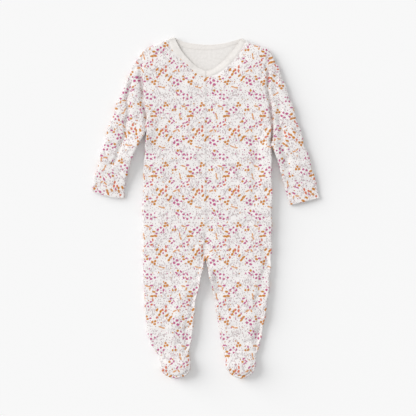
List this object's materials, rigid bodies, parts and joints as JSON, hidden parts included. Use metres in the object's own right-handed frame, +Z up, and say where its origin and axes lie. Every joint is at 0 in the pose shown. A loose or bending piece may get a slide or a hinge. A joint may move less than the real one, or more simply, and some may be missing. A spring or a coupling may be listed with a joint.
{
  "type": "footed baby sleepsuit",
  "caption": "Long-sleeved footed baby sleepsuit with a wrap-over V front, laid flat on its back, with bound neck, open cuffs and soft puffed feet.",
  "frame": {"origin": "centre of the garment's footprint, on the surface it lies on", "axes": "+Y towards the neck along the body, +X towards the wearer's left, +Z up from the surface, out of the front"},
  "size_m": [0.3958, 0.5924, 0.0175],
  "materials": {
    "printed_jersey": "matt cotton jersey, off-white with a small scattered print",
    "neck_binding": "matt cotton jersey, plain off-white"
  },
  "bodies": {
    "root": {"back": "printed_jersey", "front_right": "printed_jersey", "front_left": "printed_jersey", "sleeve_right": "printed_jersey", "sleeve_left": "printed_jersey", "foot_upper_right": "printed_jersey", "foot_upper_left": "printed_jersey", "sole_right": "printed_jersey", "sole_left": "printed_jersey", "neck_band_right": "neck_binding", "neck_band_left": "neck_binding", "neck_band_back": "neck_binding"}
  },
  "joints": []
}
